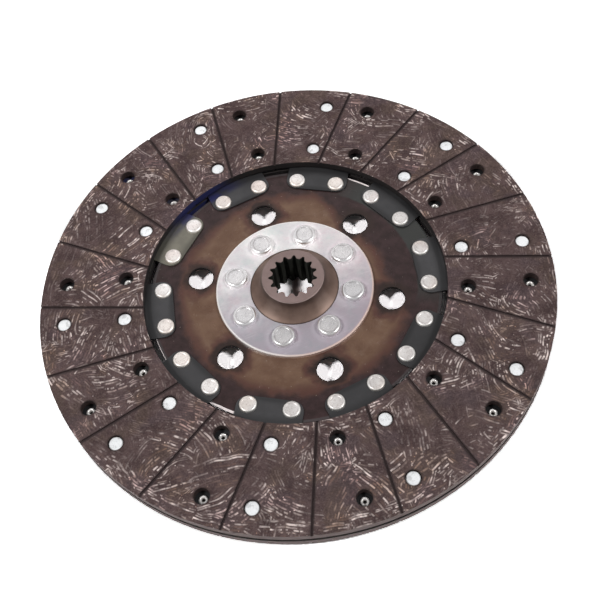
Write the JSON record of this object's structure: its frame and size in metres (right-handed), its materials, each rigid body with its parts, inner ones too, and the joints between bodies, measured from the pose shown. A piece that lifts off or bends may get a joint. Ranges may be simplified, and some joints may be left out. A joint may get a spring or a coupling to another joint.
{
  "type": "clutch disc",
  "caption": "Rigid clutch friction disc: splined hub, vented carrier plate with a clamp ring, waved cushion segments and grooved riveted facings.",
  "frame": {"origin": "middle of the hub's rear end, on the surface that the disc lies on", "axes": "+Z along the disc's axis, from the rear face to the front face; +X through the middle of the first cushion segment"},
  "size_m": [0.305, 0.305, 0.0244],
  "materials": {
    "facing": "matte",
    "carrier_lacquer": "gloss",
    "segment_steel": "satin",
    "ring_zinc": "satin",
    "rivet_zinc": "satin",
    "tube_rivet": "satin",
    "hub_steel": "satin"
  },
  "bodies": {
    "root": {"carrier_plate": "carrier_lacquer", "clamp_ring": "ring_zinc", "front_facing": "facing", "front_inner_rivets": "tube_rivet", "front_outer_rivets": "tube_rivet", "hub": "hub_steel", "hub_rivets": "rivet_zinc", "rear_facing": "facing", "rear_inner_rivets": "tube_rivet", "rear_outer_rivets": "tube_rivet", "segment_01": "segment_steel", "segment_02": "segment_steel", "segment_03": "segment_steel", "segment_04": "segment_steel", "segment_05": "segment_steel", "segment_06": "segment_steel", "segment_07": "segment_steel", "segment_08": "segment_steel", "segment_09": "segment_steel", "segment_10": "segment_steel", "segment_rivets": "rivet_zinc"}
  },
  "joints": []
}
